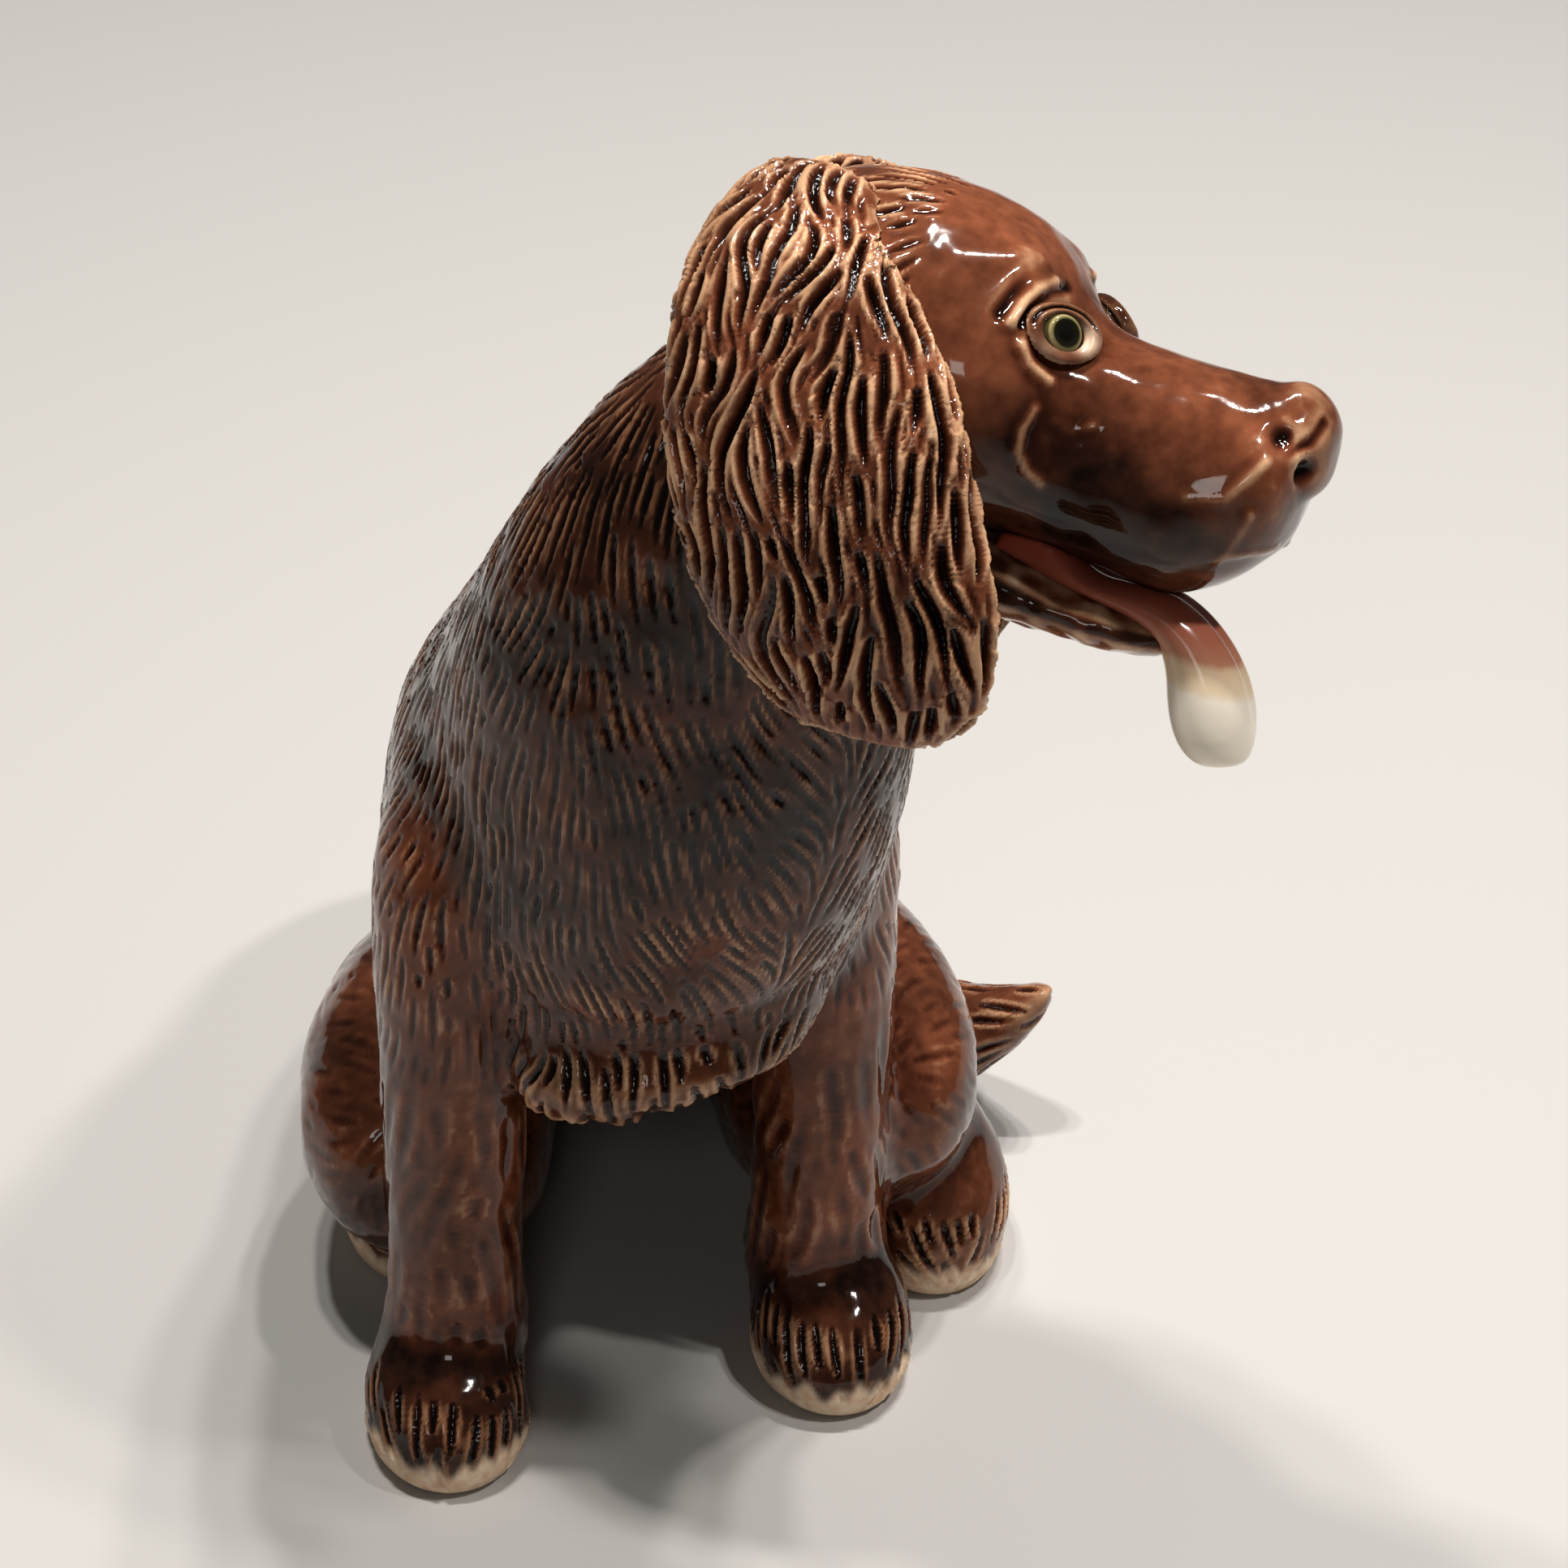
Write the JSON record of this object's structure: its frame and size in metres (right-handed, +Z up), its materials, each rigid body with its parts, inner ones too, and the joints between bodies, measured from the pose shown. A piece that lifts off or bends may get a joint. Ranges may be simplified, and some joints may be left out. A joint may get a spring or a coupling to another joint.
{
  "type": "dog figure",
  "caption": "Hand-built glazed stoneware figure of a sitting spaniel with its head turned, mouth open and tongue out, for standing on a shelf.",
  "frame": {"origin": "on the table, under the middle of the figure's bounding box", "axes": "+Z up, the dog's chest faces -Y and its left side is +X"},
  "size_m": [0.077, 0.1062, 0.1188],
  "materials": {
    "brown_glaze": "glossy liver-brown glaze that breaks to tan on the ridges of the tooled coat",
    "tongue_glaze": "glossy pink-brown glaze that fades to bare cream at the tip",
    "eye_glaze": "glossy dark olive glaze",
    "lid_glaze": "thin glossy brown glaze over pale clay"
  },
  "bodies": {
    "root": {"torso": "brown_glaze", "chest_fringe": "brown_glaze", "head": "brown_glaze", "lower_jaw": "brown_glaze", "tongue": "tongue_glaze", "nose": "brown_glaze", "eye_left": "eye_glaze", "eye_right": "eye_glaze", "eyelids_left": "lid_glaze", "eyelids_right": "lid_glaze", "ear_left": "brown_glaze", "ear_right": "brown_glaze", "foreleg_left": "brown_glaze", "foreleg_right": "brown_glaze", "forepaw_left": "brown_glaze", "forepaw_right": "brown_glaze", "haunch_left": "brown_glaze", "haunch_right": "brown_glaze", "hind_foot_left": "brown_glaze", "hind_foot_right": "brown_glaze", "tail": "brown_glaze"}
  },
  "joints": []
}
